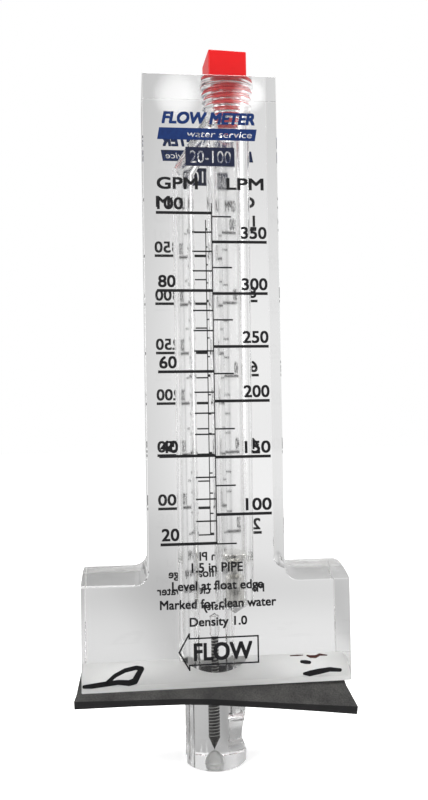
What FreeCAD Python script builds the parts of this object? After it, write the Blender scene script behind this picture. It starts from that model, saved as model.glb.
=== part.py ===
import FreeCAD, Part
import math
import os

# Insertion flow meter for a 1 1/2 inch pipe: a clear acrylic body that sits on the pipe on a
# rubber saddle gasket, a pitot tube cemented into its foot, a tapered metering bore with a
# steel float, a return bore beside it and a square-headed plug in the top.
# Units are millimetres. X runs along the pipe, with the inlet scoop on the +X side. The graduated
# front face looks along -Y, and Z is up. The origin lies on the tube's axis at the crown of the pipe.

V = FreeCAD.Vector
ALONG_PIPE = V(1, 0, 0)
UP = V(0, 0, 1)

# Pipe that the meter is made for
PIPE_OD = 48.26
PIPE_R = PIPE_OD / 2
PIPE_AXIS_Z = -PIPE_R

# Saddle gasket: a flat rubber pad, bent over the pipe
GASKET_THICKNESS = 3.175
GASKET_LENGTH = 92.1
GASKET_FLAT_WIDTH = 41.3
GASKET_HOLE_CLEARANCE = 0.25
GLUE_LINE = 0.05

# Body block
BODY_HEIGHT = 203.2
BODY_DEPTH = 31.75
BASE_LENGTH = 88.9
COLUMN_WIDTH = 45.2
EAR_HEIGHT = 33.6
EAR_ARCH_R = 38.1
EAR_FILLET = 4.76
EDGE_BREAK = 0.4
SADDLE_R = PIPE_R
GASKET_TOP_R = PIPE_R + GASKET_THICKNESS
BODY_FOOT_Z = PIPE_AXIS_Z + math.sqrt(GASKET_TOP_R**2 - (BODY_DEPTH / 2) ** 2)
BODY_TOP_Z = BODY_FOOT_Z + BODY_HEIGHT
SADDLE_AXIS_Z = BODY_FOOT_Z - math.sqrt(SADDLE_R**2 - (BODY_DEPTH / 2) ** 2)
EAR_AXIS_Z = BODY_FOOT_Z + EAR_HEIGHT - math.sqrt(EAR_ARCH_R**2 - (BODY_DEPTH / 2) ** 2)

# Pitot tube, a round rod cemented into a socket in the foot
TUBE_R = 10.668
TUBE_REACH = 31.75
TUBE_SOCKET_DEPTH = 14.0
CEMENT_LINE = 0.03
TUBE_TIP_CHAMFER = 0.5
TUBE_CENTRE_HOLE_R = 1.9
TUBE_CENTRE_HOLE_DEPTH = 4.0
TUBE_TOP_Z = BODY_FOOT_Z + TUBE_SOCKET_DEPTH
SCOOP_R = 6.0
SCOOP_DROP = 22.3
SCOOP_DEPTH = 7.5

# Metering bore, tapered and wider at the top, fed from the scoop by a smaller passage
BORE_X = 7.0
BORE_FLOOR_HEIGHT = 20.9
BORE_FLOOR_R = 6.65
BORE_TOP_R = 7.7
INLET_X = 5.0
INLET_R = 1.6
DRILL_POINT_ANGLE = 118.0
DRILL_POINT_SLOPE = 1 / math.tan(math.radians(DRILL_POINT_ANGLE / 2))

# Return bore, which leads the water down again along a flute in the tube
RETURN_X = -8.73
RETURN_R = 3.7
RETURN_TOP_BELOW_TOP = 27.2

# Passage drilled aslant through the port's mouth into the return bore
CROSS_R = 3.7
CROSS_SLANT = 31.3
CROSS_FOOT_BELOW_TOP = 30.4
CROSS_START_IN_PORT = 5.5

# Square-headed plug with a tapered thread, in the port over the metering bore
PLUG_THREAD_R = 9.8
PLUG_THREAD_LENGTH = 13.8
PLUG_TIP_CHAMFER = 0.9
PLUG_HEAD_WIDTH = 13.5
PLUG_HEAD_HEIGHT = 13.1
PLUG_HEAD_CHAMFER = 0.4
PLUG_HEAD_TURN = 4.0
THREAD_TAPER = 1 / 32
PORT_CLEARANCE = 0.08
PORT_DEPTH = 16.0
PORT_MOUTH_CHAMFER = 0.5

# Threaded stud in the middle of the tube, and the pocket over it in the foot
STUD_X = -1.1
STUD_R = 1.37
STUD_CLEARANCE = 0.03
STUD_POCKET_R = 1.7
STUD_TOP_BELOW_TUBE = 0.5
STUD_POCKET_ABOVE_TUBE = 7.4
STUD_REACH = 27.2
STUD_POINT_LENGTH = 4.1

# Float: a turned steel body with a metering head on top
FLOAT_HEAD_R = 6.35
FLOAT_HEAD_HEIGHT = 3.6
FLOAT_HEAD_BEVEL = 1.2
FLOAT_WAIST_R = 3.2
FLOAT_WAIST_HEIGHT = 3.6
FLOAT_BODY_R = 4.76
FLOAT_BODY_HEIGHT = 10.4
FLOAT_NOSE_R = 2.4
FLOAT_SHOULDER = 1.0
FLOAT_SEAT_GAP = 0.1


def cylinder_along_pipe(radius, length, axis_z):
    """A cylinder that lies along the pipe at one height, centred on the tube."""
    return Part.makeCylinder(radius, length, V(-length / 2, 0, axis_z), ALONG_PIPE)


def centred_box(length, depth, low_z, high_z):
    """A box centred on the tube's axis between two heights."""
    return Part.makeBox(length, depth, high_z - low_z, V(-length / 2, -depth / 2, low_z))


def upright(radius, x, low_z, high_z):
    """An upright cylinder between two heights."""
    return Part.makeCylinder(radius, high_z - low_z, V(x, 0, low_z), UP)


def drilled_up(radius, x, low_z, high_z):
    """The space that a pointed drill leaves when it enters from below and stops at high_z."""
    point_length = radius * DRILL_POINT_SLOPE
    wall = upright(radius, x, low_z, high_z - point_length)
    point = Part.makeCone(radius, 0, point_length, V(x, 0, high_z - point_length), UP)
    return wall.fuse(point)


def bore_floor_z():
    """Height of the tip of the bore's conical floor."""
    return BODY_FOOT_Z + BORE_FLOOR_HEIGHT


def bore_seat_z():
    """Height where the bore's conical floor meets its tapered wall."""
    return bore_floor_z() + BORE_FLOOR_R * DRILL_POINT_SLOPE


def port_floor_z():
    return BODY_TOP_Z - PORT_DEPTH


def is_ear_corner(edge):
    """True for the two curved inner corners where an arched ear meets the column."""
    on_column = abs(abs(edge.CenterOfMass.x) - COLUMN_WIDTH / 2) < 1e-3
    return on_column and edge.BoundBox.XLength < 1e-3 and edge.Curve.TypeId == "Part::GeomCircle"


def outline_edges(solid):
    """The edges round the flat front and back faces, apart from those that meet the saddle."""
    flat = [
        face
        for face in solid.Faces
        if face.BoundBox.YLength < 1e-3 and abs(abs(face.CenterOfMass.y) - BODY_DEPTH / 2) < 1e-3
    ]
    edges = [edge for face in flat for edge in face.OuterWire.Edges]
    return [edge for edge in edges if edge.CenterOfMass.z > BODY_FOOT_Z + 1e-3]


def body_blank():
    """The outer block: arched ears, the column above them and the saddle below."""
    ears = centred_box(BASE_LENGTH, BODY_DEPTH, PIPE_AXIS_Z, EAR_AXIS_Z + EAR_ARCH_R)
    ear_top = BODY_FOOT_Z + EAR_HEIGHT / 2
    arches = centred_box(BASE_LENGTH, BODY_DEPTH, PIPE_AXIS_Z, ear_top)
    arches = arches.fuse(cylinder_along_pipe(EAR_ARCH_R, BASE_LENGTH, EAR_AXIS_Z))
    ears = ears.common(arches)
    column = centred_box(COLUMN_WIDTH, BODY_DEPTH, PIPE_AXIS_Z, BODY_TOP_Z)
    blank = ears.fuse(column).removeSplitter()
    blank = blank.makeFillet(EAR_FILLET, [edge for edge in blank.Edges if is_ear_corner(edge)])
    below_foot = centred_box(2 * BASE_LENGTH, 2 * BODY_DEPTH, 2 * PIPE_AXIS_Z, BODY_FOOT_Z)
    blank = blank.cut(below_foot).cut(cylinder_along_pipe(SADDLE_R, 2 * BASE_LENGTH, SADDLE_AXIS_Z))
    return blank.makeChamfer(EDGE_BREAK, outline_edges(blank))


def metering_bore():
    """Inlet passage, conical floor and tapered bore, up to the plug's port."""
    inlet = upright(INLET_R, INLET_X, BODY_FOOT_Z, bore_seat_z())
    floor_height = bore_seat_z() - bore_floor_z()
    floor = Part.makeCone(0, BORE_FLOOR_R, floor_height, V(BORE_X, 0, bore_floor_z()), UP)
    taper_length = port_floor_z() - bore_seat_z()
    taper = Part.makeCone(BORE_FLOOR_R, BORE_TOP_R, taper_length, V(BORE_X, 0, bore_seat_z()), UP)
    return inlet.fuse([floor, taper])


def plug_port():
    """Tapered port for the plug with a broken edge at its mouth."""
    mouth_r = PLUG_THREAD_R + PORT_CLEARANCE
    floor_r = mouth_r - PORT_DEPTH * THREAD_TAPER
    wall = Part.makeCone(floor_r, mouth_r, PORT_DEPTH, V(BORE_X, 0, port_floor_z()), UP)
    mouth_z = BODY_TOP_Z - PORT_MOUTH_CHAMFER
    low_r = mouth_r - PORT_MOUTH_CHAMFER * THREAD_TAPER
    mouth = Part.makeCone(low_r, mouth_r + PORT_MOUTH_CHAMFER, PORT_MOUTH_CHAMFER, V(BORE_X, 0, mouth_z), UP)
    return wall.fuse(mouth)


def return_passage():
    """Return bore, and the slanted passage that is drilled into it through the port's mouth."""
    bore = drilled_up(RETURN_R, RETURN_X, PIPE_AXIS_Z, BODY_TOP_Z - RETURN_TOP_BELOW_TOP)
    foot = V(RETURN_X, 0, BODY_TOP_Z - CROSS_FOOT_BELOW_TOP)
    slant = math.radians(CROSS_SLANT)
    upward = V(math.sin(slant), 0, math.cos(slant))
    length = (port_floor_z() + CROSS_START_IN_PORT - foot.z) / upward.z
    wall = Part.makeCylinder(CROSS_R, length, foot, upward)
    point = Part.makeCone(CROSS_R, 0, CROSS_R * DRILL_POINT_SLOPE, foot, -upward)
    return bore.fuse([wall, point])


def meter_body():
    socket = upright(TUBE_R + CEMENT_LINE, 0, PIPE_AXIS_Z, TUBE_TOP_Z + CEMENT_LINE)
    pocket = drilled_up(STUD_POCKET_R, STUD_X, BODY_FOOT_Z, TUBE_TOP_Z + STUD_POCKET_ABOVE_TUBE)
    return body_blank().cut([socket, pocket, metering_bore(), plug_port(), return_passage()])


def pitot_tube():
    """Rod with the inlet scoop facing upstream, the return flute downstream and the lathe's centre hole."""
    rod = upright(TUBE_R, 0, -TUBE_REACH, TUBE_TOP_Z)
    tip_edges = [edge for edge in rod.Edges if edge.BoundBox.ZMax < -TUBE_REACH + 1e-3]
    rod = rod.makeChamfer(TUBE_TIP_CHAMFER, tip_edges)
    scoop_start = V(TUBE_R - SCOOP_DEPTH, 0, -SCOOP_DROP)
    scoop = Part.makeCylinder(SCOOP_R, 2 * SCOOP_DEPTH, scoop_start, ALONG_PIPE)
    inlet = upright(INLET_R, INLET_X, -SCOOP_DROP, TUBE_TOP_Z)
    flute = upright(RETURN_R, RETURN_X, -TUBE_REACH, TUBE_TOP_Z)
    hole_r = STUD_R + STUD_CLEARANCE
    point = Part.makeCone(0, hole_r, STUD_POINT_LENGTH, V(STUD_X, 0, -STUD_REACH), UP)
    stud_hole = upright(hole_r, STUD_X, STUD_POINT_LENGTH - STUD_REACH, TUBE_TOP_Z).fuse(point)
    centre_hole = drilled_up(TUBE_CENTRE_HOLE_R, STUD_X, -TUBE_REACH, TUBE_CENTRE_HOLE_DEPTH - TUBE_REACH)
    return rod.cut([scoop, inlet, flute, stud_hole, centre_hole])


def tube_stud():
    """Stud that stiffens the tube and ends in a cone point."""
    tip_z = STUD_CLEARANCE - STUD_REACH
    point = Part.makeCone(0, STUD_R, STUD_POINT_LENGTH, V(STUD_X, 0, tip_z), UP)
    shank = upright(STUD_R, STUD_X, tip_z + STUD_POINT_LENGTH, TUBE_TOP_Z - STUD_TOP_BELOW_TUBE)
    return shank.fuse(point).removeSplitter()


def turned(profile, x):
    """A solid turned about an upright axis from its half section of (radius, height) points."""
    points = [V(x + radius, 0, height) for radius, height in profile]
    face = Part.Face(Part.makePolygon(points + points[:1]))
    return face.revolve(V(x, 0, 0), UP, 360)


def float_floor_z():
    """Height of the float's nose when it lies just over the bore's conical floor."""
    return bore_floor_z() + FLOAT_NOSE_R * DRILL_POINT_SLOPE + FLOAT_SEAT_GAP


def float_head_z():
    """Height of the float's reading edge at rest."""
    nose_height = (FLOAT_BODY_R - FLOAT_NOSE_R) * DRILL_POINT_SLOPE
    return float_floor_z() + nose_height + FLOAT_BODY_HEIGHT + FLOAT_WAIST_HEIGHT + FLOAT_HEAD_HEIGHT


def float_body():
    """Float: a nose that fits the bore's floor, a body, a waist and the metering head."""
    nose_z = float_floor_z()
    body_z = nose_z + (FLOAT_BODY_R - FLOAT_NOSE_R) * DRILL_POINT_SLOPE
    waist_z = body_z + FLOAT_BODY_HEIGHT
    head_z = waist_z + FLOAT_WAIST_HEIGHT
    top_z = float_head_z()
    profile = [
        (0, nose_z),
        (FLOAT_NOSE_R, nose_z),
        (FLOAT_BODY_R, body_z),
        (FLOAT_BODY_R, waist_z - FLOAT_SHOULDER),
        (FLOAT_WAIST_R, waist_z),
        (FLOAT_WAIST_R, head_z),
        (FLOAT_HEAD_R, top_z - FLOAT_HEAD_BEVEL),
        (FLOAT_HEAD_R, top_z),
        (0, top_z),
    ]
    return turned(profile, BORE_X)


def top_plug():
    """Plug: a tapered, threaded barrel that ends level with the body's top, and a square head on it."""
    head_z = BODY_TOP_Z
    tip_z = BODY_TOP_Z - PLUG_THREAD_LENGTH
    tip_r = PLUG_THREAD_R - PLUG_THREAD_LENGTH * THREAD_TAPER
    barrel = turned(
        [
            (0, tip_z),
            (tip_r - PLUG_TIP_CHAMFER, tip_z),
            (tip_r + PLUG_TIP_CHAMFER * THREAD_TAPER, tip_z + PLUG_TIP_CHAMFER),
            (PLUG_THREAD_R, head_z),
            (0, head_z),
        ],
        BORE_X,
    )
    head = centred_box(PLUG_HEAD_WIDTH, PLUG_HEAD_WIDTH, head_z, head_z + PLUG_HEAD_HEIGHT)
    head = head.makeChamfer(PLUG_HEAD_CHAMFER, head.Edges)
    head.rotate(V(0, 0, 0), UP, PLUG_HEAD_TURN)
    head.translate(V(BORE_X, 0, 0))
    return barrel.fuse(head)


def saddle_gasket():
    """Pad bent over the pipe, with a hole for the tube."""
    outer_r = GASKET_TOP_R - GLUE_LINE
    half_angle = GASKET_FLAT_WIDTH / (PIPE_R + outer_r)
    middle = (PIPE_R + outer_r) / 2
    low = PIPE_AXIS_Z + PIPE_R * math.cos(half_angle)
    section = [
        (-half_angle, PIPE_R),
        (0, PIPE_R),
        (half_angle, PIPE_R),
        (half_angle, outer_r),
        (0, outer_r),
        (-half_angle, outer_r),
    ]
    points = [
        V(-GASKET_LENGTH / 2, radius * math.sin(angle), PIPE_AXIS_Z + radius * math.cos(angle))
        for angle, radius in section
    ]
    under = Part.Arc(points[0], points[1], points[2]).toShape()
    over = Part.Arc(points[3], points[4], points[5]).toShape()
    sides = [Part.makeLine(points[2], points[3]), Part.makeLine(points[5], points[0])]
    face = Part.Face(Part.Wire([under, sides[0], over, sides[1]]))
    pad = face.extrude(ALONG_PIPE * GASKET_LENGTH)
    hole = upright(TUBE_R + GASKET_HOLE_CLEARANCE, 0, low - middle, middle)
    return pad.cut(hole)


NODES = {
    "meter_body": meter_body,
    "pitot_tube": pitot_tube,
    "tube_stud": tube_stud,
    "metering_float": float_body,
    "top_plug": top_plug,
    "saddle_gasket": saddle_gasket,
}


def main():
    os.makedirs("parts", exist_ok=True)
    for name, make in NODES.items():
        shape = make()
        shape.exportStep(f"parts/{name}.step")
        box = shape.optimalBoundingBox()
        print(
            f"{name}: {len(shape.Solids)} solid, {shape.Volume:.0f} mm3, valid {shape.isValid()},"
            f" x {box.XMin:.2f} to {box.XMax:.2f}, y {box.YMin:.2f} to {box.YMax:.2f},"
            f" z {box.ZMin:.2f} to {box.ZMax:.2f}"
        )
    reach = port_floor_z() + PORT_DEPTH - PLUG_THREAD_LENGTH - float_head_z()
    print(f"float rests at {float_head_z():.2f} and can rise {reach:.2f} to the plug")


main()
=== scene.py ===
"""Looks of the insertion flow meter: acrylic block, printed scales, steel float, red plug and rubber gasket.

Sizes are millimetres until a mesh is finished, when MM turns them into metres. The axes are those of the
frame: X along the pipe, -Y out of the graduated front face, Z up, origin on the tube's axis at the crown of
the pipe.
"""

from __future__ import annotations

import logging
import math
from dataclasses import dataclass
from enum import Enum
from typing import Callable

import bmesh
import bpy
from mathutils import Matrix, Vector

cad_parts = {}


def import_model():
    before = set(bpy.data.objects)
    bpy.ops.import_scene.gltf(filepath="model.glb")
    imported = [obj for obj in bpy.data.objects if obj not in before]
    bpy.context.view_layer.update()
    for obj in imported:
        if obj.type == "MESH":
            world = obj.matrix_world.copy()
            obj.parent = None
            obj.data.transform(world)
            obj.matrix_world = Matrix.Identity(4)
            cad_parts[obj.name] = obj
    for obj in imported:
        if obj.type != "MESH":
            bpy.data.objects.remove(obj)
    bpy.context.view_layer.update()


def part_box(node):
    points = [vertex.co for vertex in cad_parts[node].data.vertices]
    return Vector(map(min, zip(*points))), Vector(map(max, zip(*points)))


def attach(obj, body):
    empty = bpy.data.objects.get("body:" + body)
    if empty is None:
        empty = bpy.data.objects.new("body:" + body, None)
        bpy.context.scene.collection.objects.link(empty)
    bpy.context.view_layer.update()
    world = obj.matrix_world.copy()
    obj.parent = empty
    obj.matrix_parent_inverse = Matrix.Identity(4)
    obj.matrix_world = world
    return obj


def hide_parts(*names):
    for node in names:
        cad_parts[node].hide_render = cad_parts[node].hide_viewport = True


LOG = logging.getLogger("flow_meter")
MM = 0.001

Thing = bpy.types.Object
Tree = bpy.types.NodeTree
Socket = bpy.types.NodeSocket
Material = bpy.types.Material
Pair = tuple[float, float]
Point = tuple[float, float, float]
Steps = tuple[Pair, ...]


class Face(Enum):
    """A printed face of the block, by the sign of its outward Y."""

    FRONT = -1
    BACK = 1


class Ink(Enum):
    """What is drawn on the faces, each with its colour and its worn colour."""

    BLACK = ("0B0B0D", "1C1C1F")
    BLUE = ("061A4A", "12356F")
    DARK = ("10142A", "1F2640")
    PEN = ("060608", "121214")
    STAIN = ("2E100C", "4A241C")


class Side(Enum):
    """A side of the scale's centre line, by the sign of its X on the face."""

    LEFT = -1
    RIGHT = 1


def linear(hex_code: str) -> tuple[float, float, float, float]:
    """Turns an sRGB hex colour into a linear one.

    Args:
        hex_code: Six hex digits.

    Returns:
        Red, green, blue and an alpha of 1.
    """
    parts = [int(hex_code[i : i + 2], 16) / 255 for i in (0, 2, 4)]
    curve = [c / 12.92 if c <= 0.04045 else ((c + 0.055) / 1.055) ** 2.4 for c in parts]
    return (*curve, 1.0)


def add_node(tree: Tree, kind: str, inputs: dict | None = None, **settings) -> bpy.types.Node:
    """Adds a node with its settings, values and links.

    Args:
        tree: The tree that takes the node.
        kind: The node's type name.
        inputs: Input names or indices, each with a value or with the socket that feeds it.
        settings: Properties of the node itself.

    Returns:
        The new node.
    """
    node = tree.nodes.new(kind)
    for name, value in settings.items():
        setattr(node, name, value)
    for key, value in (inputs or {}).items():
        if isinstance(value, Socket):
            tree.links.new(value, node.inputs[key])
        else:
            node.inputs[key].default_value = value
    return node


class Surface:
    """A material with one principled shader, and the nodes that feed it."""

    def __init__(self, name: str, **values) -> None:
        """Makes the material.

        Args:
            name: The material's name.
            values: Values for the shader's inputs, with underscores for the spaces in their names.
        """
        self.material = bpy.data.materials.new(name)
        self.material.use_nodes = True
        self.tree = self.material.node_tree
        self.shader = self.tree.nodes["Principled BSDF"]
        for key, value in values.items():
            self.shader.inputs[key.replace("_", " ")].default_value = value

    def feed(self, name: str, value: Socket) -> Material:
        """Links a socket to one of the shader's inputs and gives the material."""
        self.tree.links.new(value, self.shader.inputs[name])
        return self.material

    def noise(self, grain_mm: float, detail: float) -> Socket:
        """Adds a noise with grains of about the given size."""
        values = {"Vector": object_position(self.tree), "Scale": 1 / (grain_mm * MM), "Detail": detail}
        return add_node(self.tree, "ShaderNodeTexNoise", values).outputs["Fac"]

    def bumps(self, height: Socket, strength: float, height_mm: float) -> Material:
        """Raises the surface by a height and gives the material."""
        values = {"Height": height, "Strength": strength, "Distance": height_mm * MM}
        return self.feed("Normal", add_node(self.tree, "ShaderNodeBump", values).outputs["Normal"])

    def mixed(self, share: Socket, first: str, second: str) -> Material:
        """Colours the surface with a mix of two hex colours and gives the material."""
        values = {"Factor": share, "A": linear(first), "B": linear(second)}
        mix = add_node(self.tree, "ShaderNodeMix", values, data_type="RGBA")
        return self.feed("Base Color", mix.outputs["Result"])


def object_position(tree: Tree) -> Socket:
    """Gives the socket with the object's own coordinates, in metres."""
    return add_node(tree, "ShaderNodeTexCoord").outputs["Object"]


def spread(tree: Tree, value: Socket, old: Pair, new: Pair, **settings) -> Socket:
    """Maps a value from one range to another."""
    ends = {"From Min": old[0], "From Max": old[1], "To Min": new[0], "To Max": new[1]}
    return add_node(tree, "ShaderNodeMapRange", {"Value": value, **ends}, **settings).outputs["Result"]


@dataclass(frozen=True)
class ClearAcrylic:
    """Cast acrylic: clear where it is polished, and frosted by fine tool marks where it is only milled."""

    name: str
    roughness: float
    haze: float
    grain_mm: float
    clearness: float = 1.0
    ior: float = 1.49
    tint: str = "FBFBFB"
    grain_range: Pair = (0.5, 0.8)
    grain_detail: float = 3.0

    def build(self) -> Material:
        """Makes the material."""
        surface = Surface(
            self.name,
            Base_Color=linear(self.tint),
            Roughness=self.roughness,
            IOR=self.ior,
            Transmission_Weight=self.clearness,
        )
        grain = surface.noise(self.grain_mm, self.grain_detail)
        hazed = (self.roughness, self.roughness + self.haze)
        return surface.feed("Roughness", spread(surface.tree, grain, self.grain_range, hazed))


@dataclass(frozen=True)
class PrintInk:
    """Pad-printed ink, a thin opaque film with a soft sheen and slightly uneven cover."""

    name: str
    hex_code: str
    worn_hex: str
    roughness: float = 0.5
    specular: float = 0.25
    grain_mm: float = 10 / 9
    grain_detail: float = 4.0

    def build(self) -> Material:
        """Makes the material."""
        surface = Surface(self.name, Roughness=self.roughness, Specular_IOR_Level=self.specular)
        return surface.mixed(surface.noise(self.grain_mm, self.grain_detail), self.hex_code, self.worn_hex)


@dataclass(frozen=True)
class RedPlastic:
    """Injection-moulded plastic, dyed bright red, with a light orange peel from the mould."""

    name: str = "plastic_moulded_red"
    hex_code: str = "DC1216"
    roughness: float = 0.38
    ior: float = 1.49
    specular: float = 0.35
    scatter: float = 0.1
    scatter_mm: float = 0.6
    scatter_by_colour: Point = (1.0, 0.15, 0.1)
    peel_mm: float = 0.9
    peel_detail: float = 2.0
    peel_strength: float = 0.5
    peel_height_mm: float = 0.012

    def build(self) -> Material:
        """Makes the material."""
        surface = Surface(
            self.name,
            Base_Color=linear(self.hex_code),
            Roughness=self.roughness,
            IOR=self.ior,
            Specular_IOR_Level=self.specular,
            Subsurface_Weight=self.scatter,
            Subsurface_Radius=self.scatter_by_colour,
            Subsurface_Scale=self.scatter_mm * MM,
        )
        peel = surface.noise(self.peel_mm, self.peel_detail)
        return surface.bumps(peel, self.peel_strength, self.peel_height_mm)


@dataclass(frozen=True)
class TurnedSteel:
    """Stainless steel, turned: grey, with tool rings round the axis."""

    name: str
    hex_code: str
    roughness: float
    ring_mm: float
    ring_height_mm: float
    waver: float = 0.4
    ring_strength: float = 0.6
    bands_per_unit: float = 20.0

    def build(self) -> Material:
        """Makes the material."""
        surface = Surface(self.name, Base_Color=linear(self.hex_code), Metallic=1.0, Roughness=self.roughness)
        scale = 1 / (self.ring_mm * MM) / self.bands_per_unit
        values = {"Vector": object_position(surface.tree), "Scale": scale, "Distortion": self.waver}
        rings = add_node(surface.tree, "ShaderNodeTexWave", values, bands_direction="Z")
        return surface.bumps(rings.outputs["Fac"], self.ring_strength, self.ring_height_mm)


@dataclass(frozen=True)
class SheetRubber:
    """Black sheet rubber with a fine nap, under more or less dust and bloom."""

    name: str
    dust_share: float
    least_dust: float = 0.2
    black: str = "0E0E10"
    dust: str = "4A4947"
    roughness: float = 0.85
    grain_mm: float = 0.5
    grain_detail: float = 5.0
    patch_mm: float = 9.0
    patch_detail: float = 3.0
    mottle_range: Pair = (0.1, 0.4)
    nap_strength: float = 0.6
    nap_mm: float = 0.08

    def build(self) -> Material:
        """Makes the material."""
        surface = Surface(self.name, Roughness=self.roughness)
        fine = surface.noise(self.grain_mm, self.grain_detail)
        mottle = Sums(surface.tree)("MULTIPLY", fine, surface.noise(self.patch_mm, self.patch_detail))
        dusted = (self.least_dust * self.dust_share, self.dust_share)
        surface.mixed(spread(surface.tree, mottle, self.mottle_range, dusted), self.black, self.dust)
        return surface.bumps(fine, self.nap_strength, self.nap_mm)


def put(name: str, data: bpy.types.ID) -> Thing:
    """Makes an object of a mesh, curve, lamp or camera and puts it in the scene."""
    thing = bpy.data.objects.new(name, data)
    bpy.context.collection.objects.link(thing)
    return thing


def mesh_object(name: str, points: list, faces: list) -> Thing:
    """Makes an object from points in millimetres.

    Args:
        name: The object's name.
        points: Coordinates in millimetres.
        faces: Index lists, turning outwards.

    Returns:
        The new object, with its points in metres.
    """
    mesh = bpy.data.meshes.new(name)
    mesh.from_pydata([tuple(c * MM for c in point) for point in points], [], faces)
    mesh.validate()
    return put(name, mesh)


def drop(thing: Thing) -> None:
    """Removes a helper object."""
    bpy.data.objects.remove(thing, do_unlink=True)


def bake(thing: Thing) -> Thing:
    """Applies an object's modifiers to a plain mesh."""
    bpy.context.view_layer.update()
    evaluated = thing.evaluated_get(bpy.context.evaluated_depsgraph_get())
    mesh = bpy.data.meshes.new_from_object(evaluated)
    thing.modifiers.clear()
    thing.data = mesh
    return thing


def closed(thing: Thing) -> Thing:
    """Closes the thin open triangles that a boolean can leave in a mesh."""
    form = bmesh.new()
    form.from_mesh(thing.data)
    bmesh.ops.holes_fill(form, edges=[edge for edge in form.edges if edge.is_boundary], sides=4)
    form.to_mesh(thing.data)
    form.free()
    return thing


def outward(thing: Thing, merge_mm: float = 0.001) -> Thing:
    """Merges doubled points and turns every face outwards."""
    form = bmesh.new()
    form.from_mesh(thing.data)
    bmesh.ops.remove_doubles(form, verts=form.verts, dist=merge_mm * MM)
    bmesh.ops.recalc_face_normals(form, faces=form.faces)
    form.to_mesh(thing.data)
    form.free()
    return thing


def smooth(thing: Thing, sharp_deg: float = 25.0) -> Thing:
    """Shades a mesh smooth apart from its sharp edges, and keeps its flat faces flat.

    Args:
        thing: The object.
        sharp_deg: Edges that turn by more than this stay sharp.

    Returns:
        The same object.
    """
    mesh = thing.data
    mesh.polygons.foreach_set("use_smooth", [True] * len(mesh.polygons))
    mesh.set_sharp_from_angle(angle=math.radians(sharp_deg))
    weighted = thing.modifiers.new("flat_faces", "WEIGHTED_NORMAL")
    weighted.keep_sharp = True
    return bake(thing)


def lathe(name: str, profile: list[Pair], centre: Pair, segments: int = 96) -> Thing:
    """Turns a closed solid about an upright axis.

    Args:
        name: The object's name.
        profile: Points (radius, height) from the bottom to the top. The ends close on the axis.
        centre: X and Y of the axis.
        segments: Points round the axis.

    Returns:
        The solid.
    """
    points: list = []
    faces: list = []
    rings = [row for row in profile if row[0] > 0]
    for radius, height in rings:
        for k in range(segments):
            angle = 2 * math.pi * k / segments
            points.append((centre[0] + radius * math.cos(angle), centre[1] + radius * math.sin(angle), height))
    for row in range(len(rings) - 1):
        for k in range(segments):
            a, b = row * segments + k, row * segments + (k + 1) % segments
            faces.append((a, b, b + segments, a + segments))
    low, high = len(points), len(points) + 1
    points += [(centre[0], centre[1], profile[0][1]), (centre[0], centre[1], profile[-1][1])]
    last = (len(rings) - 1) * segments
    for k in range(segments):
        after = (k + 1) % segments
        faces.append((low, after, k))
        faces.append((high, last + k, last + after))
    return outward(mesh_object(name, points, faces))


def aimed(start: Vector, way: Vector) -> Matrix:
    """Gives the transform that lays the Z axis along a way, from a start in millimetres."""
    return Matrix.Translation(start * MM) @ way.to_track_quat("Z", "Y").to_matrix().to_4x4()


def rod(name: str, radius: float, start: Vector, end: Vector, segments: int = 96) -> Thing:
    """Makes a round bar between two points.

    Args:
        name: The object's name.
        radius: Its radius.
        start: Centre of one end.
        end: Centre of the other end.
        segments: Points round it.

    Returns:
        The bar.
    """
    length = (end - start).length
    bar = lathe(name, [(0, 0), (radius, 0), (radius, length), (0, length)], (0, 0), segments)
    bar.data.transform(aimed(start, end - start))
    return bar


def combine(body: Thing, tool: Thing, operation: str) -> Thing:
    """Joins a tool to a body or cuts it out, and removes the tool.

    Args:
        body: The object that stays.
        tool: The other object.
        operation: UNION, DIFFERENCE or INTERSECT.

    Returns:
        The body.
    """
    step = body.modifiers.new("step", "BOOLEAN")
    step.operation = operation
    step.object = tool
    step.solver = "EXACT"
    bake(body)
    drop(tool)
    return body


def join(name: str, things: list[Thing]) -> Thing:
    """Joins meshes into one object.

    Args:
        name: The name of the result.
        things: The objects, which are removed.

    Returns:
        The joined object.
    """
    form = bmesh.new()
    for thing in things:
        form.from_mesh(thing.data)
    mesh = bpy.data.meshes.new(name)
    form.to_mesh(mesh)
    form.free()
    for thing in things:
        drop(thing)
    return put(name, mesh)


def dress(thing: Thing, *materials: Material, second: Callable[[Vector], bool] | None = None) -> Thing:
    """Gives an object its material, and its second one on the faces whose centres a test picks."""
    thing.data.materials.clear()
    for material in materials:
        thing.data.materials.append(material)
    if second:
        chosen = [int(second(polygon.center)) for polygon in thing.data.polygons]
        thing.data.polygons.foreach_set("material_index", chosen)
    return thing


def finish(tree: Tree, shape: Socket) -> None:
    """Ends a geometry tree: real geometry in the material of the tree's last input."""
    given = next(node for node in tree.nodes if node.bl_idname == "NodeGroupInput").outputs
    whole = add_node(tree, "GeometryNodeRealizeInstances", {0: shape})
    dressed = add_node(tree, "GeometryNodeSetMaterial", {0: whole.outputs[0], "Material": given["Material"]})
    add_node(tree, "NodeGroupOutput", {0: dressed.outputs[0]})


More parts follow.
